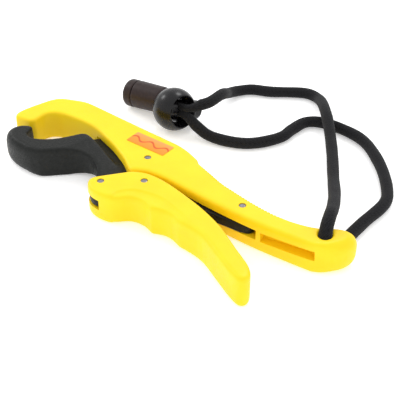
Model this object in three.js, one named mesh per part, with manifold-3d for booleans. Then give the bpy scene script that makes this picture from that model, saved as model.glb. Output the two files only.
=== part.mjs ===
// Locking fish lip grip: a floating plastic body with a fixed upper jaw, a hinged
// lower jaw, a trigger lever and a toggle link, and a cord lanyard with a ball lock.
// Millimetres, +Z up. Plan points are measured from the jaw pivot, with +X towards
// the tail of the handle and +Y towards the back of the grip.
import * as THREE from 'three';
import { mergeVertices } from 'three/addons/utils/BufferGeometryUtils.js';
import Module from 'manifold-3d';

const wasm = await Module();
wasm.setup();

// ---- driving dimensions -------------------------------------------------------
const THICK = 20;              // body, jaw and lever, floor to top face
const EDGE = 1.6;              // rounding of the moulded edges
const SLOT = 6.6;              // height of the centre slots
const PLATE = 5.6;             // jaw tang and toggle link
const SLOT_MID = 10.7;         // middle of the slots and plates
const GAP = 0.3;               // left between neighbours
const PIN_R = 2;
const PIN_LENGTH = THICK - 0.4;
const LINK_LOST_MOTION = 6.4;  // slot in the link's front eye
const SHEET = 0.2;             // label

const JAW_PIVOT = [0, 0];
const LEVER_PIVOT = [-9.2, -34.1];
const LINK_FRONT = [11.8, -20.4];
const LINK_REAR = [71.5, -10.2];

const CORD_R = 3.6;
const CORD_ROOM = 0.55;        // around the cord in its hole
const PINCH = 0.62;            // how far the lock and barrel squeeze the two strands
const BALL_R = 14.1;
const BALL_CENTRE = new THREE.Vector3(-22.6, 61.8, BALL_R);
const LOCK_TURN = -15;         // degrees, heading of the cord through the lock
const LOCK_TILT = 12;
const PLUNGER_ROLL = -22;
const PASSAGE_R = 8.3;
const PASSAGE_STRAIGHT = 5.5;   // to each side of the ball's centre, before its flare
const FLARE_R = 13.3;           // where the flare ends, outside the ball
const FLARE_END = 15;
const PLUNGER_R = 6.4;
const PLUNGER_OUT = 5.7;       // how far the button stands out of the ball
const CORD_SEAT = 3;           // the button holds the cord off centre, towards itself
const PLUNGER_TRAVEL = 2.6;
const PLUNGER_FOOT = -7.6;     // along its axis, from the ball's centre
const BUTTON_BORE = -10.9;     // bottom of the bore it slides in
const SPRING = { low: -10.4, high: -8.1, radius: 4.6, wire: 0.45, turns: 2 };
const BARREL_R = 9.4;
const BARREL_FRONT_R = 9;
const BARREL_BORE = 7.2;
const BARREL_END = new THREE.Vector3(-65.2, 70.4, 9.3);
const BARREL_TURN = -0.5;      // degrees
const BARREL_TILT = 5.2;       // up towards the ball
const BARREL_LENGTH = 22.3;
const CAP_LENGTH = 7;

// ---- materials ----------------------------------------------------------------
const finish = (color, roughness, metalness = 0) =>
  new THREE.MeshStandardMaterial({ color, roughness, metalness });
const yellow = finish(0xf7e11c, 0.42);
const black = finish(0x2b2c2d, 0.62);
const ballBlack = finish(0x1c1d1e, 0.28);
const cordBlack = finish(0x1b1c1f, 0.95);
const steel = finish(0xb4b3b0, 0.35, 1);
const orange = finish(0xf58a2e, 0.4);

// ---- helpers ------------------------------------------------------------------
const point = (p) => new THREE.Vector2(p[0], p[1]);

// An outline from runs of points: a run of two is straight, a longer one is a spline.
function outline(...runs) {
  const shape = new THREE.Shape();
  shape.moveTo(...runs[0][0]);
  for (const run of runs) {
    const [start, ...rest] = run;
    shape.lineTo(...start);
    if (rest.length > 1) shape.splineThru(rest.map(point));
    else if (rest.length) shape.lineTo(...rest[0]);
  }
  return shape;
}

function solid(geometry) {
  geometry.deleteAttribute('normal');
  geometry.deleteAttribute('uv');
  const merged = mergeVertices(geometry, 1e-4);
  return new wasm.Manifold(new wasm.Mesh({
    numProp: 3,
    vertProperties: new Float32Array(merged.attributes.position.array),
    triVerts: new Uint32Array(merged.index.array),
  }));
}

function geometryOf(manifold) {
  const { vertProperties, triVerts } = manifold.getMesh();
  const geometry = new THREE.BufferGeometry();
  geometry.setAttribute('position', new THREE.BufferAttribute(vertProperties, 3));
  geometry.setIndex(new THREE.BufferAttribute(triVerts, 1));
  geometry.computeVertexNormals();
  return geometry;
}

// A slab from an outline, with rounded top and bottom edges.
function moulded(shape, low, high, edge = EDGE, curveSegments = 2) {
  const geometry = new THREE.ExtrudeGeometry(shape, {
    depth: high - low - 2 * edge,
    bevelEnabled: edge > 0,
    bevelThickness: edge,
    bevelSize: edge,
    bevelOffset: -edge,
    bevelSegments: 2,
    curveSegments,
  });
  geometry.translate(0, 0, low + edge);
  return solid(geometry);
}

const slab = (shape, low, high) => moulded(shape, low, high, 0);

function post([x, y], radius, low, high, sides = 24) {
  const geometry = new THREE.CylinderGeometry(radius, radius, high - low, sides);
  geometry.rotateX(Math.PI / 2).translate(x, y, (low + high) / 2);
  return solid(geometry);
}

// Turns a solid of revolution about +Z so that it stands on `place` along `axis`.
function turned(profile, sides, place, axis) {
  const points = profile.map(point);
  const geometry = new THREE.LatheGeometry(points, sides).rotateX(Math.PI / 2);
  const turn = new THREE.Quaternion().setFromUnitVectors(new THREE.Vector3(0, 0, 1), axis);
  geometry.applyQuaternion(turn).translate(place.x, place.y, place.z);
  return solid(geometry);
}

const rod = (radius, low, high) => [[0, low], [radius, low], [radius, high], [0, high]];

function tube(curve, radius, steps, sides) {
  const corner = (_, i) => {
    const angle = (i / sides) * 2 * Math.PI;
    return new THREE.Vector2(radius * Math.cos(angle), radius * Math.sin(angle));
  };
  const section = new THREE.Shape(Array.from({ length: sides }, corner));
  return new THREE.ExtrudeGeometry(section, { steps, extrudePath: curve, bevelEnabled: false });
}

const grip = new THREE.Group();
const onCord = new THREE.Group();

function add(name, shape, material, group = grip) {
  const geometry = shape.isBufferGeometry ? shape : geometryOf(shape);
  const mesh = new THREE.Mesh(geometry, material);
  mesh.name = name;
  group.add(mesh);
}

// ---- cord route ---------------------------------------------------------------
const rad = THREE.MathUtils.degToRad;
const heading = new THREE.Vector3(Math.cos(rad(LOCK_TURN)), Math.sin(rad(LOCK_TURN)), 0);
const aside = new THREE.Vector3(-heading.y, heading.x, 0);
const lockAxis = heading.clone().multiplyScalar(Math.cos(rad(LOCK_TILT)));
lockAxis.z = Math.sin(rad(LOCK_TILT));
const plungerAxis = aside.clone().applyAxisAngle(lockAxis, rad(PLUNGER_ROLL)).normalize();
const stackAxis = new THREE.Vector3().crossVectors(lockAxis, plungerAxis).normalize();
const barrelAxis = new THREE.Vector3(Math.cos(rad(BARREL_TURN)), Math.sin(rad(BARREL_TURN)), 0)
  .multiplyScalar(Math.cos(rad(BARREL_TILT)));
barrelAxis.z = Math.sin(rad(BARREL_TILT));

// One cord: barrel, ball, over the tail, through its hole, and back along the floor.
const CORD_ROUTE = [
  [-61, 70.4, 13.3],
  [-45, 70.2, 14.7],
  [-24.8, 66.7, 15.6],
  [-15.6, 64, 17.8],
  [-8.7, 66, 19.1],
  [-3.4, 72.6, 19.6],
  [-2.6, 87.1, 18.5],
  [-9.8, 109.4, 6.6],
  [-7.7, 119.2, 4.1],
  [-1.4, 126, 3.8],
  [11.2, 130.6, 3.8],
  [33.4, 142, 3.8],
  [42.6, 140, 4.2],
  [60.5, 116, 11.4],
  [79, 87.5, 8.6],
  [98.1, 51.5, 10],
  [108.4, 30.8, 15.6],
  [115.9, 12.2, 21.6],
  [119, 2, 24.2],
  [121.2, -6.2, 21.8],
  [123, -10.4, 14.2],
  [124.4, -9, 6.8],
  [125.4, -1.6, 3.9],
  [125.8, 14, 3.8],
  [127.4, 31.2, 3.8],
  [130.2, 55.6, 3.8],
  [125.9, 68.3, 3.8],
  [109, 92.9, 3.8],
  [88, 110.6, 3.8],
  [60, 114, 3.8],
  [50.6, 109, 3.8],
  [46.8, 96, 3.8],
  [45, 84, 3.8],
  [30, 65.8, 3.8],
  [6, 59.6, 4.6],
  [-4.6, 59.8, 8.6],
  [-14.7, 61.2, 11.2],
  [-24.2, 63.7, 9.1],
  [-45, 70.2, 7.5],
  [-61, 70.4, 6.1],
].map((p) => new THREE.Vector3(...p));
const HOLE_POINTS = [18, 25];   // the part of the route that crosses the tail
const cordCurve = new THREE.CatmullRomCurve3(CORD_ROUTE, false, 'centripetal');

// The lock and the barrel squeeze the two strands together.
const TIGHT_TO = 8;            // ahead of the ball's centre
const LOOSE_FROM = 19;
const TIGHT_WITHIN = 4.5;      // to either side of the lock's axis
const LOOSE_BEYOND = 11;
const SQUEEZE_REACH = 48;

function cord() {
  const { lerp, smoothstep } = THREE.MathUtils;
  const geometry = tube(cordCurve, CORD_R, 78, 10);
  const position = geometry.attributes.position;
  const vertex = new THREE.Vector3();
  for (let i = 0; i < position.count; i += 1) {
    vertex.fromBufferAttribute(position, i);
    const offset = vertex.clone().sub(BALL_CENTRE);
    const along = offset.dot(heading);
    if (offset.length() > SQUEEZE_REACH || along > LOOSE_FROM) continue;
    const sideways = along > 0 ? Math.abs(offset.dot(aside)) : 0;
    const loose = Math.max(smoothstep(along, TIGHT_TO, LOOSE_FROM),
      smoothstep(sideways, TIGHT_WITHIN, LOOSE_BEYOND));
    const inBall = smoothstep(along, -BALL_R, -BALL_R / 3);
    const inLock = BALL_CENTRE.clone().addScaledVector(plungerAxis, CORD_SEAT)
      .addScaledVector(lockAxis, along);
    const inBarrel = vertex.clone().sub(BARREL_END).projectOnVector(barrelAxis).add(BARREL_END);
    const centre = inBarrel.lerp(inLock, inBall);
    const stack = new THREE.Vector3(0, 0, 1).lerp(stackAxis, inBall).normalize();
    const height = vertex.clone().sub(centre).dot(stack);
    vertex.addScaledVector(stack, height * (lerp(PINCH, 1, loose) - 1));
    position.setXYZ(i, vertex.x, vertex.y, vertex.z);
  }
  return solid(geometry);
}

// ---- plan outlines ------------------------------------------------------------
const bodyOutline = outline(
  [[-97.6, -7.2], [-99.8, -3.9], [-99.3, 1.5], [-97.3, 8], [-94.7, 15], [-91.9, 21.4], [-87.2, 26.4],
    [-78, 29.6], [-71, 31.4], [-63, 31], [-50, 29.2], [-20, 25.2], [0, 22.8], [9, 21.5],
    [17, 19], [26, 14.8]],
  [[28.6, 12], [31, 10.9], [40, 7.2], [50, 2.7], [60, -0.2], [70, -2.9], [80, -5.2], [90, -6.8],
    [100, -7.4], [110, -6.2], [117, -4], [124, 0.4], [129, 3.4], [133.5, 4], [137.2, 0.4],
    [137.6, -5], [134.6, -11.4], [128, -17], [120, -19.7]],
  [[112, -19.8], [88, -19.4], [70, -18], [50, -15.6], [30, -12.3], [18, -10.7], [8, -10.9]],
  [[2, -13], [-1.4, -15.2]],
  [[-4.5, -14], [-12.7, -7.4], [-20, -2.9], [-28, 1.6], [-36, 5], [-43.5, 8.4], [-51, 10.6],
    [-60, 11.6], [-70, 11.6], [-77, 10.8], [-82, 8], [-84.3, 3.4]],
  [[-84.3, -3.6], [-86.4, -6.4]],
);
// Room between the two cheeks of the body for the jaw's tang and the toggle link.
const bodySlot = outline(
  [[-47.2, -45], [-47.2, 7.6], [-44.2, 10], [-38, 10.8], [-26, 11], [-12, 10.8], [0, 10.6],
    [9, 8], [16, -1]],
  [[24, -6.2], [58, -5.4], [66, -4.6], [72, -4.7], [78, -6.2], [83, -8], [85.2, -11.4]],
  [[85.5, -20], [85.5, -45]],
);
// Blind moulded recess in the front of the tail, drawn from its left end.
const tailPocket = outline(
  [[0, -14.4], [26.5, -12.9]],
  [[30.5, -14], [34.6, -16.2]],
  [[34.6, -30], [0, -30]],
);
const POCKET_START = 88.5;
const POCKET_RISE = 2.6;       // degrees

const jawOutline = outline(
  [[-80, -12], [-82.2, -9], [-86.6, -9.8], [-90.4, -12.4], [-92.9, -16.6], [-92.8, -21.2],
    [-90, -25.4], [-85.4, -28.4], [-79.6, -30.4], [-73, -31.6], [-66, -31.9], [-59.5, -30.2]],
  [[-48, -20.6], [-42.5, -16.6], [-36.6, -14.9], [-30.1, -15.6], [-24.8, -18.7], [-21.3, -22.8],
    [-19, -27.6]],
  [[-16, -28], [-11.6, -12.4]],
  [[-12.6, -11.6], [-19.5, -8.4], [-29.6, -4.5], [-38.8, -1], [-44, 1], [-47.5, 1.7],
    [-50.6, 0], [-54, -4.8], [-59, -11.5], [-64.5, -16.8], [-70, -20], [-75, -20.4], [-79, -18.2]],
);
// Above and below, the jaw slopes down to its tang from this line on.
const RAMP_START = new THREE.Vector2(-44.3, -8.4);
const RAMP_HEADING = new THREE.Vector2(0.933, -0.361);
const RAMP_RUN = 29;
const tangOutline = outline(
  [[-43, -3], [-46, 3.4], [-45.6, 6.4], [-43.4, 8.6], [-38, 9.6], [-26, 9.8], [-12, 9.4],
    [-1.6, 8.6], [4, 7.6], [8, 3.6], [8.5, -1.5], [6.6, -8], [2.6, -20], [-0.4, -30], [-1.2, -34.5],
    [-2.3, -40.4], [-4.6, -43.1], [-10, -42.3], [-14.6, -38.6], [-16.2, -34.6], [-15.2, -31.2],
    [-18, -27], [-24, -19]],
  [[-30, -13.6], [-43, -12]],
);

const leverOutline = outline(
  [[-3, -18.4], [-0.6, -16], [4, -13.7], [10, -12.3], [19.4, -13], [28.8, -15.1], [40, -18.6],
    [50, -22], [60, -26.2], [70, -31.2], [80, -37.8], [88, -43.4], [98, -50], [103, -55],
    [104.8, -60.4], [101.6, -64], [95, -61.6], [87, -57], [78.6, -51.8], [68, -45.4], [59, -42.4],
    [48.6, -40.8]],
  [[43.5, -38.4], [38.6, -37.5], [34, -38], [29.6, -39.4]],
  [[24, -36.9], [18, -36.2], [12.5, -37.6], [7.5, -42], [3, -44], [-4, -44.4], [-10.4, -42.8],
    [-15.2, -39], [-16.8, -34.6], [-14.8, -31]],
);
// Room between the cheeks of the lever's forked nose.
const leverSlot = outline(
  [[-30, -60], [-30, 0], [60, 0]],
  [[56, -17.5], [44, -21.6], [22, -26.4]],
  [[16.8, -30.8], [10.4, -33.2], [4.6, -32.4]],
  [[1.4, -31.6], [1.4, -35.5], [-0.1, -39.6], [-3.3, -43.1]],
  [[-3.5, -44], [-3.5, -60]],
);

// The toggle link: an eye at each end, the rear one with a lobe on the front side.
const linkOutline = outline(
  [[5.6, -20.8], [7.2, -16], [12, -14], [20, -13], [45, -8.7], [62, -6.2], [71, -5.6],
    [75.4, -7.4], [79, -10.4], [81.9, -13.8], [80, -17.3], [74, -18.8], [66, -18.9], [58, -18.8],
    [50, -19.2], [30, -23.4], [12.6, -26.3], [7.4, -25]],
);

// ---- the grip's own pieces ----------------------------------------------------
const slotLow = SLOT_MID - SLOT / 2;
const slotHigh = SLOT_MID + SLOT / 2;
const plateLow = SLOT_MID - PLATE / 2;
const plateHigh = SLOT_MID + PLATE / 2;
const pinHole = (at) => post(at, PIN_R + GAP, -1, THICK + 1);

// Fine grooves across the back of the handle.
function spineGrooves() {
  const spine = new THREE.SplineCurve([[34, 9.9], [50, 2.8], [60, -0.1], [70, -2.8], [80, -5.1],
    [90, -6.7]].map(point));
  return spine.getSpacedPoints(24).map((p) => post([p.x, p.y + 0.35], 0.75, -1, THICK + 1, 6));
}

function pocket() {
  const geometry = new THREE.ExtrudeGeometry(tailPocket, { depth: SLOT - 0.4, bevelEnabled: false });
  geometry.rotateY(-rad(POCKET_RISE)).translate(POCKET_START, 0, slotLow);
  return solid(geometry);
}

function body() {
  let shape = moulded(bodyOutline, 0, THICK);
  const across = CORD_ROUTE.slice(...HOLE_POINTS);
  const passage = new THREE.CatmullRomCurve3(across, false, 'centripetal');
  const cuts = [
    slab(bodySlot, slotLow, slotHigh),
    pocket(),
    pinHole(JAW_PIVOT),
    pinHole(LINK_REAR),
    solid(tube(passage, CORD_R + CORD_ROOM, 22, 16)),
    ...spineGrooves(),
  ];
  for (const cut of cuts) shape = shape.subtract(cut);
  return shape;
}

// Cuts a shape down along a slope from `from` at the start of the ramp to `to` at its end.
function ramped(shape, from, to) {
  const side = Math.sign(to - from);
  const slope = (to - from) / RAMP_RUN;
  const normal = [-side * slope * RAMP_HEADING.x, -side * slope * RAMP_HEADING.y, side];
  const offset = side * (from - slope * RAMP_START.dot(RAMP_HEADING));
  return shape.trimByPlane(normal, offset / Math.hypot(...normal));
}

function lowerJaw() {
  const jaw = ramped(ramped(moulded(jawOutline, 0, THICK), THICK, plateHigh), 0, plateLow);
  let shape = jaw.add(slab(tangOutline, plateLow, plateHigh));
  for (const at of [JAW_PIVOT, LEVER_PIVOT]) shape = shape.subtract(pinHole(at));
  return shape;
}

function triggerLever() {
  let shape = moulded(leverOutline, 0, THICK).subtract(slab(leverSlot, slotLow, slotHigh));
  for (const at of [LEVER_PIVOT, LINK_FRONT]) shape = shape.subtract(pinHole(at));
  return shape;
}

function toggleLink() {
  const [x, y] = LINK_FRONT;
  const along = point(LINK_REAR).sub(point(LINK_FRONT)).normalize();
  const end = [x + along.x * LINK_LOST_MOTION, y + along.y * LINK_LOST_MOTION];
  const radius = PIN_R + GAP + 0.25;
  const side = [-along.y * radius, along.x * radius];
  const between = outline(
    [[x + side[0], y + side[1]], [end[0] + side[0], end[1] + side[1]]],
    [[end[0] - side[0], end[1] - side[1]], [x - side[0], y - side[1]]],
  );
  return slab(linkOutline, plateLow, plateHigh)
    .subtract(post([x, y], radius, 0, THICK))
    .subtract(post(end, radius, 0, THICK))
    .subtract(slab(between, 0, THICK))
    .subtract(pinHole(LINK_REAR));
}

function label() {
  const geometry = new THREE.BoxGeometry(28.5, 11, SHEET);
  geometry.rotateZ(rad(-4.7)).translate(-7.1, 12.5, THICK + 0.1 + SHEET / 2);
  return solid(geometry);
}

// ---- pieces on the cord -------------------------------------------------------
function ball() {
  const sphere = new THREE.SphereGeometry(BALL_R, 36, 24);
  sphere.translate(...BALL_CENTRE);
  const flare = [[0, -FLARE_END], [FLARE_R, -FLARE_END], [PASSAGE_R, -PASSAGE_STRAIGHT],
    [PASSAGE_R, PASSAGE_STRAIGHT], [FLARE_R, FLARE_END], [0, FLARE_END]];
  const passage = turned(flare, 32, BALL_CENTRE, lockAxis);
  return solid(sphere)
    .subtract(passage)
    .subtract(turned(rod(PLUNGER_R + GAP, BUTTON_BORE, BALL_R + 5), 32, BALL_CENTRE, plungerAxis));
}

function plunger() {
  const top = BALL_R + PLUNGER_OUT;
  const profile = [[0, PLUNGER_FOOT], [PLUNGER_R - 0.5, PLUNGER_FOOT],
    [PLUNGER_R, PLUNGER_FOOT + 0.5], [PLUNGER_R, top - 1.2], [PLUNGER_R - 1.2, top], [0, top]];
  const wide = CORD_R + 0.9;
  const tall = 2 * CORD_R * PINCH + 0.45;
  const window = new THREE.BoxGeometry(2 * tall, 2 * wide + PLUNGER_TRAVEL, 40);
  window.translate(0, CORD_SEAT + PLUNGER_TRAVEL / 2, 0);
  const frame = new THREE.Matrix4().makeBasis(stackAxis, plungerAxis, lockAxis.clone().negate());
  window.applyMatrix4(frame.setPosition(BALL_CENTRE));
  return turned(profile, 32, BALL_CENTRE, plungerAxis).subtract(solid(window));
}

function spring() {
  const { low, high, radius, wire, turns } = SPRING;
  const steps = 12 * turns;
  const coil = [];
  for (let i = 0; i <= steps; i += 1) {
    const angle = (i / steps) * turns * 2 * Math.PI;
    const height = THREE.MathUtils.lerp(low, high, i / steps);
    const spoke = lockAxis.clone().applyAxisAngle(plungerAxis, angle).multiplyScalar(radius);
    coil.push(BALL_CENTRE.clone().addScaledVector(plungerAxis, height).add(spoke));
  }
  return solid(tube(new THREE.CatmullRomCurve3(coil), wire, steps, 6));
}

function barrel() {
  const back = CAP_LENGTH + GAP;
  const front = back + BARREL_LENGTH;
  const profile = [[BARREL_BORE, back], [BARREL_R - 0.4, back], [BARREL_R, back + 0.4],
    [BARREL_FRONT_R, front - 1.2], [BARREL_FRONT_R - 1.2, front], [BARREL_BORE + 0.4, front],
    [BARREL_BORE, front - 0.4], [BARREL_BORE, back]];
  return turned(profile, 32, BARREL_END, barrelAxis);
}

function cap() {
  const wall = 2.4;
  const profile = [[0, 0], [BARREL_R - 2, 0], [BARREL_R - 0.6, 0.6], [BARREL_R, 2],
    [BARREL_R, CAP_LENGTH - 0.4], [BARREL_R - 0.4, CAP_LENGTH], [BARREL_BORE, CAP_LENGTH],
    [BARREL_BORE, wall], [0, wall]];
  return turned(profile, 32, BARREL_END, barrelAxis);
}

// ---- assembly -----------------------------------------------------------------
add('body', body(), yellow);
add('lower_jaw', lowerJaw(), black);
add('trigger_lever', triggerLever(), yellow);
add('toggle_link', toggleLink(), black);
const pins = {
  jaw_pivot_pin: JAW_PIVOT,
  lever_pivot_pin: LEVER_PIVOT,
  link_front_pin: LINK_FRONT,
  link_rear_pin: LINK_REAR,
};
for (const [name, at] of Object.entries(pins)) {
  add(name, post(at, PIN_R, (THICK - PIN_LENGTH) / 2, (THICK + PIN_LENGTH) / 2), steel);
}
add('label', label(), orange);

add('lanyard_cord', cord(), cordBlack, onCord);
add('cord_lock_ball', ball(), ballBlack, onCord);
add('cord_lock_plunger', plunger(), black, onCord);
add('cord_lock_spring', spring(), steel, onCord);
add('cord_end_barrel', barrel(), black, onCord);
add('cord_end_cap', cap(), black, onCord);

// The origin is under the middle of the grip itself, on the surface it lies on.
const box = new THREE.Box3().setFromObject(grip);
const middle = box.getCenter(new THREE.Vector3());
const assembly = new THREE.Group();
assembly.position.set(-middle.x, -middle.y, -box.min.z);
assembly.add(grip, onCord);
assembly.updateMatrixWorld(true);

const model = new THREE.Group();
model.add(assembly);
export default model;
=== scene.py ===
"""A locking fish lip grip with a cord lanyard, lying on a white studio floor."""

import math

import bmesh
import bpy
import numpy as np
from mathutils import Matrix, Vector


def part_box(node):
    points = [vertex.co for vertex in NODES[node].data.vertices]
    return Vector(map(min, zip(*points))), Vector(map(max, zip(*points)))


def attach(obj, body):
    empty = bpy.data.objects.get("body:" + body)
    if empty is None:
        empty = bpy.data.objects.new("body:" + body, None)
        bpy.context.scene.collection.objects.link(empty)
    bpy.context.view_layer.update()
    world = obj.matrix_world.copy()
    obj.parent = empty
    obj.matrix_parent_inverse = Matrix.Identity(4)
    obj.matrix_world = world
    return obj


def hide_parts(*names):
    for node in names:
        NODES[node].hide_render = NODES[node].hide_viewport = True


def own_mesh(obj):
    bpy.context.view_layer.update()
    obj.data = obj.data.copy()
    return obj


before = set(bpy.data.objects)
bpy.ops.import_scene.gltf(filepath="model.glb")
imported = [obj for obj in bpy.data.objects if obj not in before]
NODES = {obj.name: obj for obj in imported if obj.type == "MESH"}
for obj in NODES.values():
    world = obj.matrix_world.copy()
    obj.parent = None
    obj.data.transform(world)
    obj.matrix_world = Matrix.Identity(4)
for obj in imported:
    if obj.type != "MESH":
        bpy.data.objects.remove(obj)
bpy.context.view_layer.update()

scene = bpy.context.scene

# Plan points are metres from the jaw pivot, as the grip's solids are laid out.
pin_low, pin_high = (Vector(corner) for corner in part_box("jaw_pivot_pin"))
PIVOT = Vector(((pin_low.x + pin_high.x) / 2, (pin_low.y + pin_high.y) / 2, 0))
PINS = {
    "jaw_pivot_pin": (0.0, 0.0),
    "lever_pivot_pin": (-0.0092, -0.0341),
    "link_front_pin": (0.0118, -0.0204),
    "link_rear_pin": (0.0715, -0.0102),
}
THICK = 0.020
PIN_R = 0.002
HOLE_R = PIN_R + 0.00018


def at(x, y, z=0.0):
    return PIVOT + Vector((x, y, z))


# ---- camera -------------------------------------------------------------------
CAMERA_AT = at(0.27814, -0.37671, 0.34017)
CAMERA_TO = at(0.04903, -0.01891, 0.020)


def aimed(obj, place, target):
    obj.location = place
    obj.rotation_euler = (target - place).to_track_quat("-Z", "Y").to_euler()
    scene.collection.objects.link(obj)
    return obj


camera_data = bpy.data.cameras.new("camera")
camera_data.sensor_width = 36
camera_data.lens = 85.5
camera_data.clip_start = 0.01
scene.camera = aimed(bpy.data.objects.new("camera", camera_data), CAMERA_AT, CAMERA_TO)

# ---- the cord's line ----------------------------------------------------------
CORD_R = 0.0036
CORD_ROUTE = [
    (-0.061, 0.0704, 0.0133),
    (-0.045, 0.0702, 0.0147),
    (-0.0248, 0.0667, 0.0156),
    (-0.0156, 0.064, 0.0178),
    (-0.0087, 0.0660, 0.0191),
    (-0.0034, 0.0726, 0.0196),
    (-0.0026, 0.0871, 0.0185),
    (-0.0098, 0.1094, 0.0066),
    (-0.0077, 0.1192, 0.0041),
    (-0.0014, 0.1260, 0.0038),
    (0.0112, 0.1306, 0.0038),
    (0.0334, 0.142, 0.0038),
    (0.0426, 0.14, 0.0042),
    (0.0605, 0.116, 0.0114),
    (0.079, 0.0875, 0.0086),
    (0.0981, 0.0515, 0.01),
    (0.1084, 0.0308, 0.0156),
    (0.1159, 0.0122, 0.0216),
    (0.119, 0.002, 0.0242),
    (0.1212, -0.0062, 0.0218),
    (0.123, -0.0104, 0.0142),
    (0.1244, -0.009, 0.0068),
    (0.1254, -0.0016, 0.0039),
    (0.1258, 0.014, 0.0038),
    (0.1274, 0.0312, 0.0038),
    (0.1302, 0.0556, 0.0038),
    (0.1259, 0.0683, 0.0038),
    (0.109, 0.0929, 0.0038),
    (0.088, 0.1106, 0.0038),
    (0.06, 0.114, 0.0038),
    (0.0506, 0.109, 0.0038),
    (0.0468, 0.096, 0.0038),
    (0.045, 0.084, 0.0038),
    (0.03, 0.0658, 0.0038),
    (0.006, 0.0596, 0.0046),
    (-0.0046, 0.0598, 0.0086),
    (-0.0147, 0.0612, 0.0112),
    (-0.0242, 0.0637, 0.0091),
    (-0.045, 0.0702, 0.0075),
    (-0.061, 0.0704, 0.0061),
]


def catmull_rom(points, steps):
    """A centripetal spline through the points, with that many steps to a span."""
    p = np.array(points)
    p = np.vstack([2 * p[0] - p[1], p, 2 * p[-1] - p[-2]])
    t = np.linspace(0, 1, steps, endpoint=False)[:, None]
    spans = []
    for a, b, c, d in zip(p, p[1:], p[2:], p[3:]):
        u, v, w = (math.sqrt(np.linalg.norm(s)) for s in (b - a, c - b, d - c))
        leave = v * ((b - a) / u - (c - a) / (u + v)) + (c - b)
        arrive = v * ((d - c) / w - (d - b) / (v + w)) + (c - b)
        spans.append(
            (2 * t**3 - 3 * t**2 + 1) * b
            + (t**3 - 2 * t**2 + t) * leave
            + (3 * t**2 - 2 * t**3) * c
            + (t**3 - t**2) * arrive
        )
    return np.vstack([*spans, p[-2][None]])


def evenly(points, spacing):
    """The same line with its points an equal way apart, and its length."""
    ways = np.concatenate([[0], np.cumsum(np.linalg.norm(np.diff(points, axis=0), axis=1))])
    count = round(ways[-1] / spacing) + 1
    to = np.linspace(0, ways[-1], count)
    return np.stack([np.interp(to, ways, points[:, k]) for k in range(3)], axis=1), ways[-1]


def unit(v):
    return v / np.linalg.norm(v)


# ---- cord lock frame ----------------------------------------------------------
BALL_R = 0.0141
BALL_CENTRE = np.array(at(-0.0226, 0.0618, BALL_R))
BARREL_END = np.array(at(-0.0652, 0.0704, 0.0093))
CORD_SEAT = 0.003      # the button holds the cord off centre, towards itself
BORE_DEPTH = 0.0109    # of the button's bore, from the ball's centre
PINCH = 0.62           # share of their height that the squeezed strands keep
LOOSE_AHEAD = (0.008, 0.019)       # from the ball's centre, where the squeeze fades out
LOOSE_ASIDE = (0.0045, 0.011)      # the same, to either side of the lock's heading
LOCK_REACH = 0.048     # the cord is free beyond this distance, past the barrel's end
UP = np.array([0.0, 0.0, 1.0])


def pointed(turn, tilt):
    """A level heading that many degrees round from +X, and the same tilted up."""
    turn, tilt = math.radians(turn), math.radians(tilt)
    level = np.array([math.cos(turn), math.sin(turn), 0])
    return level, level * math.cos(tilt) + UP * math.sin(tilt)


heading, lock_axis = pointed(-15, 12)
barrel_axis = pointed(-0.5, 5.2)[1]
BUTTON_ROLL = math.radians(-22)
aside = np.array([-heading[1], heading[0], 0])
button_axis = np.array(Matrix.Rotation(BUTTON_ROLL, 3, Vector(lock_axis)) @ Vector(aside))
stack_axis = unit(np.cross(lock_axis, button_axis))


def smoothstep(x, low, high):
    t = np.clip((x - low) / (high - low), 0, 1)
    return t * t * (3 - 2 * t)


def looseness(line):
    """How free the cord is at each point of its line: 0 in the lock and the barrel, 1 outside."""
    offset = line - BALL_CENTRE
    along = offset @ heading
    sideways = np.where(along > 0, abs(offset @ aside), 0)
    loose = np.maximum(smoothstep(along, *LOOSE_AHEAD), smoothstep(sideways, *LOOSE_ASIDE))
    loose[np.linalg.norm(offset, axis=1) > LOCK_REACH] = 1
    return loose


def squeezed(points, loose):
    """The cord lock and the barrel press the two strands together."""
    along = (points - BALL_CENTRE) @ heading
    in_ball = smoothstep(along, -BALL_R, -BALL_R / 3)[:, None]
    in_lock = BALL_CENTRE + CORD_SEAT * button_axis + along[:, None] * lock_axis
    in_barrel = BARREL_END + ((points - BARREL_END) @ barrel_axis)[:, None] * barrel_axis
    centre = in_barrel * (1 - in_ball) + in_lock * in_ball
    stack = UP * (1 - in_ball) + stack_axis * in_ball
    stack /= np.linalg.norm(stack, axis=1)[:, None]
    height = ((points - centre) * stack).sum(axis=1)
    return points + stack * (height * (1 - PINCH) * (loose - 1))[:, None]


# ---- mesh helpers -------------------------------------------------------------
def new_piece(name, vertices, faces, material=None):
    mesh = bpy.data.meshes.new(name)
    mesh.from_pydata([tuple(v) for v in vertices], [], [tuple(f) for f in faces])
    mesh.update()
    mesh.shade_smooth()
    piece = bpy.data.objects.new(name, mesh)
    scene.collection.objects.link(piece)
    if material:
        mesh.materials.append(material)
    return piece


def baked(piece):
    """Applies the piece's modifiers to its mesh."""
    bpy.context.view_layer.update()
    graph = bpy.context.evaluated_depsgraph_get()
    mesh = bpy.data.meshes.new_from_object(piece.evaluated_get(graph))
    piece.modifiers.clear()
    piece.data = mesh
    return piece


def points_of(mesh):
    flat = np.empty(len(mesh.vertices) * 3)
    mesh.vertices.foreach_get("co", flat)
    return flat.reshape(-1, 3)


def move_points(mesh, points):
    mesh.vertices.foreach_set("co", points.ravel())
    mesh.update()


def grid_faces(rings, sides):
    """Quads between closed rings of vertices."""
    return [
        (r * sides + s, r * sides + (s + 1) % sides, (r + 1) * sides + (s + 1) % sides, (r + 1) * sides + s)
        for r in range(rings - 1)
        for s in range(sides)
    ]


def end_faces(rings, sides):
    """The two faces that close a stack of rings."""
    last = (rings - 1) * sides
    return [tuple(reversed(range(sides))), tuple(range(last, last + sides))]


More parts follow.
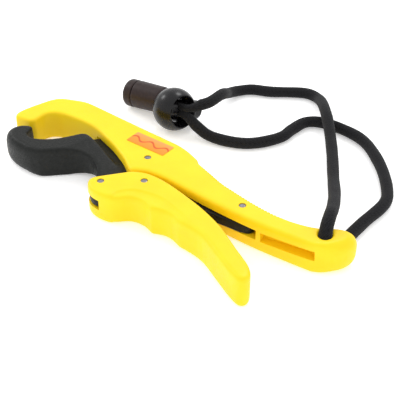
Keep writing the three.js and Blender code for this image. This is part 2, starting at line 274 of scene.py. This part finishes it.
def lathe(name, profile, sides, place, axis, ring=False):
    """A closed solid turned from (radius, height) points, standing at place along axis.

    The profile of a ring goes all the way round its section.
    """
    turn = Vector((0, 0, 1)).rotation_difference(Vector(axis)).to_matrix()
    place = Vector(place)
    vertices = []
    for radius, height in profile:
        for s in range(sides):
            angle = 2 * math.pi * s / sides
            spoke = Vector((radius * math.cos(angle), radius * math.sin(angle), height))
            vertices.append(place + turn @ spoke)
    faces = grid_faces(len(profile), sides)
    if ring:
        last = (len(profile) - 1) * sides
        faces += [(last + s, last + (s + 1) % sides, (s + 1) % sides, s) for s in range(sides)]
    else:
        faces += end_faces(len(profile), sides)
    return new_piece(name, vertices, faces)


def add_plug(bm, place, radius, low, high):
    turn = Matrix.Translation(Vector((place.x, place.y, (low + high) / 2)))
    bmesh.ops.create_cone(
        bm, cap_ends=True, segments=32, radius1=radius, radius2=radius, depth=high - low, matrix=turn
    )


def prism(outline, low, high):
    """A closed prism on a plan outline."""
    count = len(outline)
    vertices = [at(x, y, z) for z in (low, high) for x, y in outline]
    faces = grid_faces(2, count) + end_faces(2, count)
    piece = new_piece("prism", vertices, faces)
    bm = bmesh.new()
    bm.from_mesh(piece.data)
    bmesh.ops.recalc_face_normals(bm, faces=bm.faces)
    bm.to_mesh(piece.data)
    bm.free()
    return piece


def section_prism(node, level, high):
    """A CAD solid's own section at one level, carried up from there."""
    bm = bmesh.new()
    bm.from_mesh(NODES[node].data)
    bmesh.ops.remove_doubles(bm, verts=bm.verts, dist=1e-6)
    everything = bm.verts[:] + bm.edges[:] + bm.faces[:]
    bmesh.ops.bisect_plane(
        bm, geom=everything, plane_co=(0, 0, level), plane_no=(0, 0, 1), clear_inner=True, clear_outer=True
    )
    bmesh.ops.triangle_fill(bm, edges=bm.edges, use_beauty=True)
    raised = bmesh.ops.extrude_face_region(bm, geom=bm.faces[:])["geom"]
    corners = [v for v in raised if isinstance(v, bmesh.types.BMVert)]
    bmesh.ops.translate(bm, verts=corners, vec=(0, 0, high - level))
    bmesh.ops.recalc_face_normals(bm, faces=bm.faces)
    piece = new_piece("section", [], [])
    bm.to_mesh(piece.data)
    bm.free()
    return piece


MOULDING_VOXEL = 0.00055
SMALL_VOXEL = 0.0004


def softened(name, source, voxel, passes, plugs=(), fills=(), material=None):
    """A copy of a solid as one fine skin, with its edges rounded all over."""
    bm = bmesh.new()
    bm.from_mesh(source)
    bmesh.ops.remove_doubles(bm, verts=bm.verts, dist=1e-6)
    for plug in plugs:
        add_plug(bm, *plug)
    for fill in fills:
        bm.from_mesh(fill.data)
        bpy.data.objects.remove(fill)
    piece = new_piece(name, [], [])
    bm.to_mesh(piece.data)
    bm.free()
    remesh = piece.modifiers.new("skin", "REMESH")
    remesh.mode = "VOXEL"
    remesh.voxel_size = voxel
    smooth = piece.modifiers.new("soft", "SMOOTH")
    smooth.factor = 0.5
    smooth.iterations = passes
    baked(piece)
    piece.data.materials.clear()
    if material:
        piece.data.materials.append(material)
    piece.data.shade_smooth()
    return piece


CRISP = math.radians(38)


def combined(piece, tools, operation="DIFFERENCE"):
    """Takes the tools out of the piece, or keeps only what is in them, with crisp edges."""
    for tool in tools:
        step = piece.modifiers.new("cut", "BOOLEAN")
        step.operation = operation
        step.solver = "EXACT"
        step.object = tool
    baked(piece)
    piece.data.shade_smooth()
    piece.data.set_sharp_from_angle(angle=CRISP)
    for tool in tools:
        bpy.data.objects.remove(tool)
    return piece


def pin_holes(*names):
    """A cutter for each of those pins' holes."""
    rounds = []
    past = 0.002
    for name in names:
        profile = [(HOLE_R, -past), (HOLE_R, THICK + past)]
        rounds.append(lathe("hole", profile, 40, at(*PINS[name]), (0, 0, 1)))
    return rounds


def finish_piece(piece, body, slot, *nodes):
    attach(piece, body)
    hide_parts(*nodes)


# ---- materials ----------------------------------------------------------------
WAVES = 2.5    # of the line along the sticker


class Finish:
    """A Principled material with a few procedural layers."""

    def __init__(self, name, color, roughness, **inputs):
        self.material = bpy.data.materials.new(name)
        self.material.use_nodes = True
        self.tree = self.material.node_tree
        self.shader = self.tree.nodes["Principled BSDF"]
        self.shader.inputs["Base Color"].default_value = (*color, 1)
        self.shader.inputs["Roughness"].default_value = roughness
        for key, value in inputs.items():
            self.shader.inputs[key.replace("_", " ")].default_value = value
        self.place = self.node("ShaderNodeTexCoord").outputs["Object"]
        self.normal = None

    def node(self, kind, **settings):
        made = self.tree.nodes.new(kind)
        for key, value in settings.items():
            setattr(made, key, value)
        return made

    def link(self, start, end):
        self.tree.links.new(start, end)

    def noise(self, scale, detail=3.0, distortion=0.0):
        made = self.node("ShaderNodeTexNoise")
        self.link(self.place, made.inputs["Vector"])
        made.inputs["Scale"].default_value = scale
        made.inputs["Detail"].default_value = detail
        made.inputs["Distortion"].default_value = distortion
        return made.outputs["Fac"]

    def cells(self, scale, feature="F1"):
        made = self.node("ShaderNodeTexVoronoi", feature=feature)
        self.link(self.place, made.inputs["Vector"])
        made.inputs["Scale"].default_value = scale
        return made.outputs["Distance"]

    def ramp(self, value, *stops):
        made = self.node("ShaderNodeValToRGB")
        self.link(value, made.inputs["Fac"])
        ramp = made.color_ramp
        while len(ramp.elements) < len(stops):
            ramp.elements.new(0.5)
        for element, (place, color) in zip(ramp.elements, stops):
            element.position = place
            element.color = (*color, 1)
        return made.outputs["Color"]

    def remap(self, value, low, high, start=0.0, end=1.0):
        made = self.node("ShaderNodeMapRange")
        self.link(value, made.inputs["Value"])
        for key, number in zip(("From Min", "From Max", "To Min", "To Max"), (start, end, low, high)):
            made.inputs[key].default_value = number
        return made.outputs["Result"]

    def math(self, operation, *values):
        made = self.node("ShaderNodeMath", operation=operation)
        for socket, value in zip(made.inputs, values):
            if isinstance(value, (int, float)):
                socket.default_value = value
            else:
                self.link(value, socket)
        return made.outputs["Value"]

    def color(self, output):
        self.link(output, self.shader.inputs["Base Color"])

    def roughness(self, output):
        self.link(output, self.shader.inputs["Roughness"])

    def bump(self, height, distance, strength=1.0):
        made = self.node("ShaderNodeBump")
        self.link(height, made.inputs["Height"])
        made.inputs["Distance"].default_value = distance
        made.inputs["Strength"].default_value = strength
        if self.normal:
            self.link(self.normal, made.inputs["Normal"])
        self.normal = made.outputs["Normal"]
        self.link(self.normal, self.shader.inputs["Normal"])


def yellow_plastic():
    f = Finish("yellow plastic", (0.96, 0.67, 0.006), 0.45, Specular_IOR_Level=0.3)
    f.color(f.ramp(f.noise(60, 4), (0.35, (0.955, 0.65, 0.005)), (0.65, (0.965, 0.69, 0.007))))
    f.roughness(f.remap(f.noise(900, 5), 0.38, 0.54, 0.35, 0.65))
    f.bump(f.noise(2600, 4), 0.00002)
    f.bump(f.noise(70, 2), 0.0002, 0.5)
    return f.material


def black_plastic():
    f = Finish("black plastic", (0.007, 0.008, 0.007), 0.5, Specular_IOR_Level=0.2)
    f.color(f.ramp(f.noise(500, 4), (0.35, (0.005, 0.006, 0.005)), (0.7, (0.010, 0.011, 0.010))))
    f.roughness(f.remap(f.noise(1300, 3), 0.3, 0.58, 0.35, 0.65))
    f.bump(f.cells(1500), 0.0001, 0.9)
    f.bump(f.noise(900, 4), 0.0001, 0.8)
    return f.material


def ball_plastic():
    f = Finish("ball plastic", (0.004, 0.004, 0.005), 0.26, Specular_IOR_Level=0.3)
    f.color(f.ramp(f.noise(300, 3), (0.35, (0.003, 0.003, 0.004)), (0.7, (0.006, 0.005, 0.006))))
    f.roughness(f.remap(f.noise(700, 4), 0.22, 0.34, 0.35, 0.65))
    f.bump(f.noise(300, 3), 0.00002, 0.4)
    return f.material


def barrel_plastic():
    f = Finish("barrel plastic", (0.024, 0.013, 0.012), 0.4, Specular_IOR_Level=0.25)
    f.color(f.ramp(f.noise(400, 4), (0.35, (0.018, 0.009, 0.009)), (0.7, (0.03, 0.017, 0.015))))
    f.roughness(f.remap(f.noise(1100, 3), 0.34, 0.5, 0.35, 0.65))
    f.bump(f.noise(1600, 4), 0.00004, 0.7)
    return f.material


def cord_fabric():
    f = Finish("cord fabric", (0.008, 0.008, 0.009), 0.9, Specular_IOR_Level=0.12)
    f.shader.inputs["Sheen Weight"].default_value = 0.08
    f.shader.inputs["Sheen Roughness"].default_value = 0.5
    # Yarn height from make_cord: painted shade darkens the valleys between the yarns, and a painted
    # highlight lightens their crowns.
    yarn = f.node("ShaderNodeAttribute", attribute_name="braid").outputs["Fac"]
    f.color(
        f.ramp(
            yarn,
            (0.0, (0.003, 0.003, 0.004)),
            (0.5, (0.009, 0.009, 0.010)),
            (1.0, (0.026, 0.026, 0.030)),
        )
    )
    f.bump(f.noise(5000, 3), 0.00012, 0.8)
    f.bump(f.cells(3200), 0.00008, 0.6)
    return f.material


def pin_steel():
    f = Finish("pin steel", (0.24, 0.23, 0.24), 0.4, Metallic=1.0)
    f.color(f.ramp(f.noise(900, 4), (0.35, (0.19, 0.18, 0.19)), (0.65, (0.28, 0.27, 0.28))))
    f.roughness(f.remap(f.noise(1500, 3), 0.34, 0.52, 0.35, 0.65))
    f.bump(f.noise(1200, 5), 0.00003)
    return f.material


def sticker():
    """An orange print, paler at the top, with a plain wavy line across it."""
    f = Finish("sticker", (0.95, 0.36, 0.1), 0.35, Specular_IOR_Level=0.3)
    parts = f.node("ShaderNodeSeparateXYZ")
    f.link(f.node("ShaderNodeTexCoord").outputs["UV"], parts.inputs["Vector"])
    across, up = parts.outputs["X"], parts.outputs["Y"]
    fade = f.ramp(
        up,
        (0.0, (0.90, 0.26, 0.006)),
        (0.5, (0.90, 0.29, 0.03)),
        (1.0, (0.90, 0.34, 0.09)),
    )
    wave = f.math("MULTIPLY", f.math("SINE", f.math("MULTIPLY", across, 2 * math.pi * WAVES)), 0.16)
    away = f.math("ABSOLUTE", f.math("SUBTRACT", f.math("SUBTRACT", up, 0.5), wave))
    line = f.ramp(away, (0.05, (0.9, 0.9, 0.9)), (0.09, (0, 0, 0)))
    mix = f.node("ShaderNodeMix", data_type="RGBA")
    f.link(line, mix.inputs["Factor"])
    f.link(fade, mix.inputs["A"])
    mix.inputs["B"].default_value = (0.62, 0.08, 0.01, 1)
    f.color(mix.outputs["Result"])
    f.roughness(f.remap(f.noise(1500, 3), 0.3, 0.42, 0.35, 0.65))
    return f.material


yellow = yellow_plastic()
black = black_plastic()
ball_black = ball_plastic()
barrel_black = barrel_plastic()
cord_black = cord_fabric()
steel = pin_steel()
orange = sticker()

# ---- the cord -----------------------------------------------------------------
CORD_SIDES = 44
CORD_STEP = 0.00055
YARNS = 16
YARN_PITCH = 0.00141
YARN_HEIGHT = 0.00022
LUMP_HEIGHT = 0.0001
BRAID_SINK = 0.0001    # of the yarns' feet below the cord's nominal skin
FLOOR_GAP = 0.0001


def cord_line():
    rough = catmull_rom([at(*p) for p in CORD_ROUTE], 24)
    return evenly(rough, CORD_STEP)


def frames_along(line):
    """A side and an up direction at each point, turning as little as they can."""
    ahead = np.gradient(line, axis=0)
    ahead /= np.linalg.norm(ahead, axis=1)[:, None]
    side = np.empty_like(line)
    side[0] = unit(np.cross(ahead[0], [0, 0, 1]))
    for k in range(1, len(line)):
        carried = side[k - 1] - ahead[k] * (side[k - 1] @ ahead[k])
        side[k] = unit(carried)
    return side, np.cross(ahead, side)


def braid(around, along):
    """Height of yarns that pass over and under one another, from 0 to 1."""
    a = YARNS * around + along / YARN_PITCH
    b = YARNS * around - along / YARN_PITCH
    ridge_a, ridge_b = (np.sin(np.pi * (x % 1)) for x in (a, b))
    over = (np.floor(a) + np.floor(b)) % 2 == 0
    return np.where(over, ridge_a * (0.6 + 0.4 * ridge_b), ridge_b * (0.6 + 0.4 * ridge_a))


def lumps(along):
    """The slow swelling and thinning of a soft braid over its core."""
    long, middling, short = (along / length for length in (0.0067, 0.0041, 0.0023))
    return 0.5 * np.sin(middling) + 0.3 * np.sin(long + 1.3) + 0.2 * np.sin(short + 4)


def make_cord():
    line, length = cord_line()
    side, up = frames_along(line)
    along = np.linspace(0, length, len(line))[:, None]
    around = (np.arange(CORD_SIDES) / CORD_SIDES)[None, :]
    height = braid(around, along)
    radius = CORD_R - BRAID_SINK + YARN_HEIGHT * height + LUMP_HEIGHT * lumps(along)
    angle = 2 * np.pi * around
    across = (radius * np.cos(angle))[..., None] * side[:, None, :]
    rise = (radius * np.sin(angle))[..., None] * up[:, None, :]
    skin = (line[:, None, :] + across + rise).reshape(-1, 3)
    loose = looseness(line)
    skin = squeezed(skin, np.repeat(loose, CORD_SIDES))
    skin[:, 2] = np.maximum(skin[:, 2], FLOOR_GAP)
    faces = grid_faces(len(line), CORD_SIDES)
    faces += end_faces(len(line), CORD_SIDES)
    piece = new_piece("lanyard_braid", skin, faces, cord_black)
    # Yarn height, which the cord's material turns into painted shade in the valleys and a painted highlight
    # on the crowns.
    shade = piece.data.attributes.new("braid", "FLOAT", "POINT")
    shade.data.foreach_set("value", height.ravel())
    return piece, squeezed(line, loose), length


cord, cord_path, cord_length = make_cord()
finish_piece(cord, "grip_body", "black_cord", "lanyard_cord")

# ---- body, jaw, lever and link ------------------------------------------------
CHEEK_LOW = 0.0074     # the slots lie between these heights
CHEEK_HIGH = 0.0140
SECTION_LOW = 0.0064   # the fills of the slots reach a little past them
SECTION_HIGH = 0.0156
PLUG_ROOM = 0.0008     # that a plug is wider than its pin


def cheek_plugs(*names):
    """Fills the pins' holes in a slotted moulding until they are cut again."""
    plugs = []
    for name in names:
        place = at(*PINS[name])
        plugs.append((place, PIN_R + PLUG_ROOM, 0.0, CHEEK_LOW))
        plugs.append((place, PIN_R + PLUG_ROOM, CHEEK_HIGH, THICK))
    return plugs


def along_line(points, line):
    """How far along a plan line each point is, and how far to its left."""
    starts, ends = line[:-1], line[1:]
    spans = ends - starts
    lengths = np.linalg.norm(spans, axis=1)
    before = np.concatenate([[0], np.cumsum(lengths)])[:-1]
    along = np.zeros(len(points))
    left = np.full(len(points), 1.0)
    for start, span, length, passed in zip(starts, spans / lengths[:, None], lengths, before):
        offset = points[:, :2] - start
        way = np.clip(offset @ span, 0, length)
        away = offset - way[:, None] * span
        side = span[0] * offset[:, 1] - span[1] * offset[:, 0]
        distance = np.copysign(np.linalg.norm(away, axis=1), side)
        nearer = abs(distance) < abs(left)
        along[nearer] = passed + way[nearer]
        left[nearer] = distance[nearer]
    return along, left


def plan_line(points):
    """A smooth plan line through points in metres from the jaw pivot."""
    return catmull_rom([at(*p) for p in points], 8)[:, :2]


# Fine ribs across the back of the handle.
SPINE = [
    (0.030, 0.0113), (0.040, 0.0072), (0.050, 0.0027), (0.060, -0.0002),
    (0.070, -0.0029), (0.080, -0.0052), (0.090, -0.0068), (0.098, -0.0073),
]
RIB_PITCH = 0.0021
RIB_DEPTH = 0.0007      # into the back
RIB_DIP = 0.0006        # into the faces
RIB_BACK = (-0.0026, -0.0006)      # from the spine line, where the grooves in the back fade in
RIB_FACE = (-0.0042, -0.0006)      # the same on the faces
RIB_ENDS = (0.001, 0.010)          # from either end of the spine line
RIB_SKIN = 0.0015                  # of the faces' thickness that dips


def add_ribs(piece):
    points = points_of(piece.data)
    line = plan_line(SPINE)
    along, left = along_line(points, line)
    length = np.linalg.norm(np.diff(line, axis=0), axis=1).sum()
    start, full = RIB_ENDS
    ends = smoothstep(along, start, full) * (1 - smoothstep(along, length - full, length - start))
    near = smoothstep(left, *RIB_BACK)
    edge = smoothstep(left, *RIB_FACE)
    groove = (0.5 + 0.5 * np.cos(2 * np.pi * along / RIB_PITCH)) ** 2 * ends
    face = smoothstep(np.abs(points[:, 2] - THICK / 2), THICK / 2 - RIB_SKIN, THICK / 2)
    points[:, 1] -= RIB_DEPTH * groove * near
    points[:, 2] -= RIB_DIP * groove * edge * face * np.sign(points[:, 2] - THICK / 2)
    move_points(piece.data, points)


# Room between the cheeks of the body for the jaw's tang and the link, in millimetres.
BODY_SLOT = (
    [(-47.2, -45)],
    [(-47.2, 7.6), (-44.2, 10), (-38, 10.8), (-26, 11), (-12, 10.8), (0, 10.6), (9, 8), (16, -1)],
    [(24, -6.2), (58, -5.4), (66, -4.6), (72, -4.7), (78, -6.2), (83, -8), (85.2, -11.4)],
    [(85.5, -20), (85.5, -45)],
)
LEVER_SLOT = (
    [(-30, -60), (-30, 0), (60, 0)],
    [(56, -17.5), (44, -21.6), (22, -26.4)],
    [(16.8, -30.8), (10.4, -33.2), (4.6, -32.4)],
    [(1.4, -31.6), (1.4, -35.5), (-0.1, -39.6), (-3.3, -43.1)],
    [(-3.5, -44), (-3.5, -60)],
)
# The recess in the tail: its right end here, and one that covers all of the solid's own recess.
POCKET_END = 33.3
POCKET_SOLID_END = 34.9
POCKET_START = 0.0885
POCKET_HEIGHT = 0.0062
POCKET_RISE = math.radians(2.6)


def rounded(runs):
    """A plan outline in metres from runs of points, each a spline if it is long."""
    outline = []
    for run in runs:
        flat = [(x, y, 0) for x, y in run]
        spline = catmull_rom(flat, 6)[:, :2] if len(run) > 3 else np.array(run)
        outline.extend(tuple(p / 1000) for p in spline)
    return outline


def body_slots(end=POCKET_END):
    """Cutters for the body's slot and for the recess in its tail, drawn from its left end."""
    outline = [(0, -14.4), (26.5, -12.9), (30.5, -14), (end, -16.2), (end, -30), (0, -30)]
    pocket = prism([(x / 1000, y / 1000) for x, y in outline], 0, POCKET_HEIGHT)
    rise = Matrix.Rotation(-POCKET_RISE, 4, "Y")
    start = at(POCKET_START, 0, CHEEK_LOW)
    pocket.data.transform(Matrix.Translation(start) @ rise @ Matrix.Translation(-PIVOT))
    return [prism(rounded(BODY_SLOT), CHEEK_LOW, CHEEK_HIGH), pocket]


def slot_fills(node, slots):
    """What the slots take out of a moulding, so that it can be softened whole."""
    fills = []
    for slot in slots:
        section = section_prism(node, SECTION_LOW, SECTION_HIGH)
        fills.append(combined(slot, [section], "INTERSECT"))
    return fills


def bulge(points, centre, along, share):
    """Draws a moulding's upper and lower edges in towards a centre, along from one x to another."""
    middle = np.array(at(*centre))[:2]
    start, end = (at(x, 0).x for x in along)
    weight = smoothstep(points[:, 0], min(start, end), max(start, end))
    if end < start:
        weight = 1 - weight
    edge = abs(points[:, 2] / THICK * 2 - 1) ** 3.5
    points[:, :2] += (middle - points[:, :2]) * (share * weight * edge)[:, None]


def make_body():
    pins = ("jaw_pivot_pin", "link_rear_pin")
    fills = slot_fills("body", body_slots(POCKET_SOLID_END))
    source = NODES["body"].data
    piece = softened("grip_moulding", source, MOULDING_VOXEL, 26, cheek_plugs(*pins), fills, yellow)
    add_ribs(piece)
    points = points_of(piece.data)
    bulge(points, (0.123, -0.009), (0.120, 0.134), 0.3)
    move_points(piece.data, points)
    return combined(piece, body_slots() + pin_holes(*pins))


# The edge of the grip's finger panel, sunk a little into the lever's faces.
PANEL_EDGE = [
    (0.0036, -0.050), (0.0040, -0.046), (0.0047, -0.038), (0.0100, -0.0315), (0.0200, -0.0286),
    (0.0300, -0.0286), (0.0406, -0.0320), (0.0500, -0.0356), (0.0620, -0.0410),
]
PANEL_DEPTH = 0.0007
PANEL_STEP = (-0.0006, 0.0012)     # right of the edge line, where the sunk part begins
PANEL_FADE = (0.003, 0.011)        # and where it has risen again
PANEL_TOP = (0.0165, 0.0185)       # heights between which the upper face takes over


def sink_panel(piece):
    points = points_of(piece.data)
    line = plan_line(PANEL_EDGE)
    along, left = along_line(points, line)
    length = np.linalg.norm(np.diff(line, axis=0), axis=1).sum()
    inside = smoothstep(-left, *PANEL_STEP) * (1 - smoothstep(-left, *PANEL_FADE))
    fade = smoothstep(along, 0.000, 0.006) * (1 - smoothstep(along, 0.5 * length, length))
    depth = PANEL_DEPTH * inside * fade
    top = smoothstep(points[:, 2], *PANEL_TOP)
    bottom = 1 - smoothstep(points[:, 2], 0.0015, 0.0035)
    points[:, 2] += depth * (bottom - top)
    move_points(piece.data, points)


def make_lever():
    pins = ("lever_pivot_pin", "link_front_pin")
    slot = prism(rounded(LEVER_SLOT), CHEEK_LOW, CHEEK_HIGH)
    fills = slot_fills("trigger_lever", [slot])
    source = NODES["trigger_lever"].data
    piece = softened("trigger_moulding", source, MOULDING_VOXEL, 40, cheek_plugs(*pins), fills, yellow)
    sink_panel(piece)
    slot = prism(rounded(LEVER_SLOT), CHEEK_LOW, CHEEK_HIGH)
    return combined(piece, [slot] + pin_holes(*pins))


def make_jaw():
    piece = softened("jaw_moulding", NODES["lower_jaw"].data, voxel=0.0005, passes=34, material=black)
    points = points_of(piece.data)
    bulge(points, (-0.076, -0.018), (-0.056, -0.072), 0.2)
    move_points(piece.data, points)
    return piece


def make_link():
    return softened("link_plate", NODES["toggle_link"].data, voxel=SMALL_VOXEL, passes=8, material=black)


finish_piece(make_body(), "grip_body", "yellow_plastic", "body")
finish_piece(make_lever(), "trigger", "yellow_plastic", "trigger_lever")
finish_piece(make_jaw(), "jaw", "black_plastic", "lower_jaw")
finish_piece(make_link(), "link", "black_plastic", "toggle_link")

# ---- pins ---------------------------------------------------------------------
PIN_BODIES = {
    "jaw_pivot_pin": "grip_body",
    "lever_pivot_pin": "trigger",
    "link_front_pin": "trigger",
    "link_rear_pin": "grip_body",
}


def make_pin(name):
    """A pin just short of the faces, with bevelled and slightly dished ends."""
    low, high = 0.0002, THICK - 0.0002
    bevel, dish = 0.0003, 0.0001
    profile = [
        (PIN_R * 0.45, low + dish),
        (PIN_R - bevel, low),
        (PIN_R, low + bevel),
        (PIN_R, high - bevel),
        (PIN_R - bevel, high),
        (PIN_R * 0.45, high - dish),
    ]
    piece = lathe(name + "_turned", profile, 32, at(*PINS[name]), (0, 0, 1))
    piece.data.materials.append(steel)
    return piece


for pin, pin_body in PIN_BODIES.items():
    finish_piece(make_pin(pin), pin_body, "steel_pin", pin)

# ---- sticker ------------------------------------------------------------------
LABEL_AT = at(-0.0071, 0.0125, THICK)
LABEL_TURN = math.radians(-4.7)
LABEL_SIZE = (0.0285, 0.011)
LABEL_CORNER = 0.0006
LABEL_LAYER = (-0.0001, 0.00022)   # below and above the body's face


def make_label():
    """A thin sticker with rounded corners."""
    half = [s / 2 - LABEL_CORNER for s in LABEL_SIZE]
    turn = Matrix.Rotation(LABEL_TURN, 3, "Z")
    edge = []
    for corner, (sx, sy) in enumerate(((1, 1), (-1, 1), (-1, -1), (1, -1))):
        for k in range(5):
            angle = math.pi / 2 * (corner + k / 4)
            x = sx * half[0] + LABEL_CORNER * math.cos(angle)
            y = sy * half[1] + LABEL_CORNER * math.sin(angle)
            edge.append((x, y))
    vertices = [LABEL_AT + turn @ Vector((x, y, z)) for z in LABEL_LAYER for x, y in edge]
    count = len(edge)
    faces = grid_faces(2, count) + end_faces(2, count)
    piece = new_piece("sticker", vertices, faces, orange)
    piece.data.shade_flat()
    layer = piece.data.uv_layers.new(name="sticker")
    for loop in piece.data.loops:
        x, y = edge[loop.vertex_index % count]
        layer.data[loop.index].uv = (x / LABEL_SIZE[0] + 0.5, y / LABEL_SIZE[1] + 0.5)
    return piece


finish_piece(make_label(), "grip_body", "orange_label", "label")

# ---- cord lock and barrel -----------------------------------------------------
RIM_ANGLE = math.radians(42.4)     # of the passage's rims above the ball's equator
PASSAGE_R = 0.0083
PASSAGE_STRAIGHT = 0.0055
RIM_ROUND = 0.0012
BORE_R = 0.0067
BORE_CHAMFER = 0.0007
BALL_SIDES = 144


def rounded_corner(before, corner, after, steps=6):
    """A small curve that replaces a corner, starting and ending RIM_ROUND from it."""
    corner = np.array(corner)
    start = corner + RIM_ROUND * unit(np.array(before) - corner)
    end = corner + RIM_ROUND * unit(np.array(after) - corner)
    shares = np.linspace(0, 1, steps)[:, None]
    return (1 - shares) ** 2 * start + 2 * shares * (1 - shares) * corner + shares ** 2 * end


def ball_profile():
    """Half of the ball's section: up its skin, round the rim and back through the passage."""
    short = RIM_ANGLE - RIM_ROUND / BALL_R
    skin = [(BALL_R * math.cos(a), BALL_R * math.sin(a)) for a in np.linspace(-short, short, 49)]
    corner = (BALL_R * math.cos(RIM_ANGLE), BALL_R * math.sin(RIM_ANGLE))
    throat = (PASSAGE_R, PASSAGE_STRAIGHT)
    upper = [tuple(p) for p in rounded_corner(skin[-1], corner, throat)]
    passage = [(PASSAGE_R, height) for height in np.linspace(PASSAGE_STRAIGHT, -PASSAGE_STRAIGHT, 7)]
    lower = [(radius, -height) for radius, height in reversed(upper)]
    return skin[:-1] + upper + passage + lower[:-1]


def make_ball():
    """A ball with a flared passage for the strands and a bore for the button."""
    piece = lathe("lock_ball", ball_profile(), BALL_SIDES, BALL_CENTRE, lock_axis, ring=True)
    mouth = math.sqrt(BALL_R ** 2 - BORE_R ** 2)
    bore = [
        (BORE_R, -BORE_DEPTH),
        (BORE_R, mouth - BORE_CHAMFER),
        (BORE_R + 3 * BORE_CHAMFER, mouth + 2 * BORE_CHAMFER),
        (BORE_R + 3 * BORE_CHAMFER, 1.5 * BALL_R),
    ]
    combined(piece, [lathe("bore", bore, 96, BALL_CENTRE, button_axis)])
    piece.data.materials.clear()
    piece.data.materials.append(ball_black)
    return piece


def make_button():
    source = NODES["cord_lock_plunger"].data
    return softened("lock_button_cap", source, voxel=SMALL_VOXEL, passes=6, material=ball_black)


def make_spring():
    source = NODES["cord_lock_spring"].data
    return softened("lock_spring_wire", source, voxel=0.0002, passes=2, material=steel)


def make_barrel():
    source = NODES["cord_end_barrel"].data
    return softened("cord_barrel", source, voxel=SMALL_VOXEL, passes=8, material=barrel_black)


def make_cap():
    source = NODES["cord_end_cap"].data
    return softened("cord_barrel_cap", source, voxel=SMALL_VOXEL, passes=10, material=barrel_black)


lock_ball = make_ball()
lock_button = make_button()
lock_spring = make_spring()
cord_barrel = make_barrel()
cord_cap = make_cap()
finish_piece(lock_ball, "grip_body", "ball_plastic", "cord_lock_ball")
finish_piece(lock_button, "lock_button", "ball_plastic", "cord_lock_plunger")
finish_piece(lock_spring, "grip_body", "spring_steel", "cord_lock_spring")
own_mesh(lock_spring)
finish_piece(cord_barrel, "grip_body", "barrel_plastic", "cord_end_barrel")
finish_piece(cord_cap, "grip_body", "barrel_plastic", "cord_end_cap")

# ---- studio -------------------------------------------------------------------
def make_floor():
    """A white floor that glows a little."""
    f = Finish("floor", (0.96, 0.96, 0.96), 0.35, Specular_IOR_Level=0.3)
    f.shader.inputs["Emission Color"].default_value = (1, 1, 1, 1)
    f.shader.inputs["Emission Strength"].default_value = 0.35
    size = 3.0
    corners = [(-size, -size, 0), (size, -size, 0), (size, size, 0), (-size, size, 0)]
    floor = new_piece("floor", corners, [(0, 1, 2, 3)], f.material)


def disc_light(name, place, target, size, power):
    light = bpy.data.lights.new(name, "AREA")
    light.shape = "DISK"
    light.size = size
    light.energy = power
    return aimed(bpy.data.objects.new(name, light), place, target)


make_floor()
middle = at(0.02, 0.02, 0)
disc_light("left", middle + Vector((-1.03, 0.07, 0.72)), middle, 0.3, 2.4)
disc_light("back", middle + Vector((-0.10, 0.73, 0.95)), middle, 0.34, 2.6)
world = bpy.data.worlds.new("studio")
world.use_nodes = True
sky = world.node_tree.nodes["Background"]
sky.inputs["Color"].default_value = (1, 1, 1, 1)
sky.inputs["Strength"].default_value = 1.12
scene.world = world
scene.view_settings.view_transform = "Standard"
